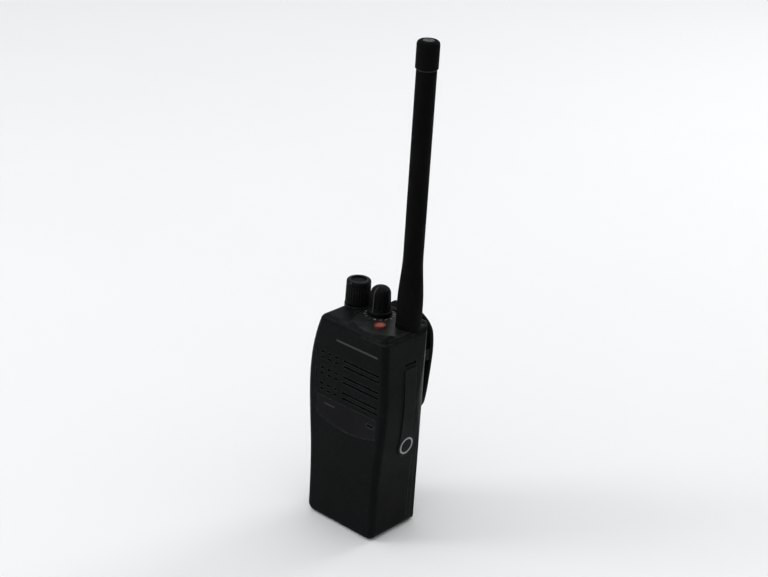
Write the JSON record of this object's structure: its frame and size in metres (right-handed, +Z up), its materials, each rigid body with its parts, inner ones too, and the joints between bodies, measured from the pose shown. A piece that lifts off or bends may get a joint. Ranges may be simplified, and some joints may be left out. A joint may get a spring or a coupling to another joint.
{
  "type": "two way radio",
  "caption": "Handheld two way radio with a whip antenna, rotary volume and channel knobs, side push-to-talk, slide-off battery and sprung belt clip.",
  "frame": {"origin": "middle of the flat foot that the radio stands on, on the body's centre plane", "axes": "+Z up along the antenna, front loudspeaker face towards -Y, antenna on the +X side"},
  "size_m": [0.0592, 0.0528, 0.284],
  "materials": {
    "housing": "fine-textured moulded black plastic with a slight blue-grey sheen",
    "trim": "satin black trim",
    "knob_plastic": "dense black, slightly shiny from handling",
    "antenna_rubber": "matte black moulded rubber",
    "button_rubber": "soft-touch dark rubber",
    "orange_button": "orange-red, satin",
    "lamp_lens": "clear lamp lens",
    "emblem": "pale grey ring",
    "felt": "black acoustic cloth",
    "steel": "plain steel",
    "black_steel": "black-finished pressed steel",
    "brass": "turned brass",
    "gold": "gold-plated contact",
    "cast_metal": "die-cast alloy",
    "board": "green circuit board",
    "dark_moulding": "component moulding",
    "paper_cone": "loudspeaker cone",
    "battery_plastic": "moulded black plastic, slightly coarser than the housing",
    "cell_wrap": null,
    "label": "blank satin label"
  },
  "bodies": {
    "radio": {"accessory_jacks": "dark_moulding", "antenna_socket": "brass", "battery_springs": "gold", "channel_switch": "dark_moulding", "chassis": "cast_metal", "chassis_screws": "steel", "control_nuts": "brass", "cover_pin": "steel", "deck_inlay": "trim", "front_housing": "housing", "front_label": "trim", "grille_felt": "felt", "latch_springs": "steel", "main_board": "board", "microphone_boot": "button_rubber", "microphone_capsule": "cast_metal", "shield_cans": "steel", "side_switches": "dark_moulding", "speaker_cone": "paper_cone", "speaker_frame": "steel", "speaker_magnet": "steel", "speaker_strap": "steel", "status_lamp": "lamp_lens", "top_switch": "dark_moulding", "volume_control": "dark_moulding"},
    "volume": {"volume_knob": "knob_plastic", "volume_shaft": "steel"},
    "channel": {"channel_knob": "knob_plastic", "channel_shaft": "steel"},
    "antenna": {"antenna_sheath": "antenna_rubber", "antenna_core": "dark_moulding", "antenna_cap": "antenna_rubber", "antenna_stud": "brass"},
    "top_button": {"top_button": "orange_button"},
    "ptt": {"ptt_button": "button_rubber"},
    "upper_side_button": {"upper_side_button": "button_rubber"},
    "lower_side_button": {"lower_side_button": "button_rubber"},
    "cover": {"accessory_cover": "trim", "cover_emblem": "emblem"},
    "battery": {"battery_case": "battery_plastic", "battery_cover": "battery_plastic", "battery_cells": "cell_wrap", "cell_links": "steel", "protection_board": "board", "battery_terminals": "gold", "charging_pads": "gold", "battery_label": "label", "clip_bracket": "black_steel", "clip_pin": "steel", "clip_spring": "steel"},
    "latch": {"battery_latch": "knob_plastic"},
    "clip": {"clip_lever": "trim"}
  },
  "joints": [
    {"name": "volume_turn", "type": "hinge", "parent": "radio", "child": "volume", "pos_m": [-0.017, 0.006, 0.126], "axis": [0, 0, -1], "range_deg": [0, 270]},
    {"name": "channel_turn", "type": "hinge", "parent": "radio", "child": "channel", "pos_m": [-0.0005, 0.006, 0.125], "axis": [0, 0, -1], "range_deg": [0, 337.5]},
    {"name": "antenna_unscrew", "type": "slide", "parent": "radio", "child": "antenna", "axis": [0, 0, 1], "range_m": [0, 0.014]},
    {"name": "top_button_press", "type": "slide", "parent": "radio", "child": "top_button", "axis": [0, 0, -1], "range_m": [0, 0.001], "stiffness_N_per_m": 1500, "springref_m": -0.0006},
    {"name": "ptt_press", "type": "slide", "parent": "radio", "child": "ptt", "axis": [1, 0, 0], "range_m": [0, 0.0012], "stiffness_N_per_m": 1500, "springref_m": -0.0008},
    {"name": "upper_side_button_press", "type": "slide", "parent": "radio", "child": "upper_side_button", "axis": [1, 0, 0], "range_m": [0, 0.0008], "stiffness_N_per_m": 1500, "springref_m": -0.0006},
    {"name": "lower_side_button_press", "type": "slide", "parent": "radio", "child": "lower_side_button", "axis": [1, 0, 0], "range_m": [0, 0.0008], "stiffness_N_per_m": 1500, "springref_m": -0.0006},
    {"name": "cover_open", "type": "hinge", "parent": "radio", "child": "cover", "pos_m": [0.0263, 0.0015, 0.104], "axis": [0, -1, 0], "range_deg": [0, 90]},
    {"name": "battery_slide", "type": "slide", "parent": "radio", "child": "battery", "axis": [0, 0, -1], "range_m": [0, 0.012]},
    {"name": "latch_release", "type": "slide", "parent": "radio", "child": "latch", "axis": [0, -1, 0], "range_m": [0, 0.0025], "stiffness_N_per_m": 900, "springref_m": -0.001, "deforming": ["latch_springs"]},
    {"name": "clip_open", "type": "hinge", "parent": "battery", "child": "clip", "pos_m": [0, 0.0266, 0.098], "axis": [1, 0, 0], "range_deg": [0, 12], "stiffness_Nm_per_rad": 0.9, "springref_deg": -8.59}
  ]
}
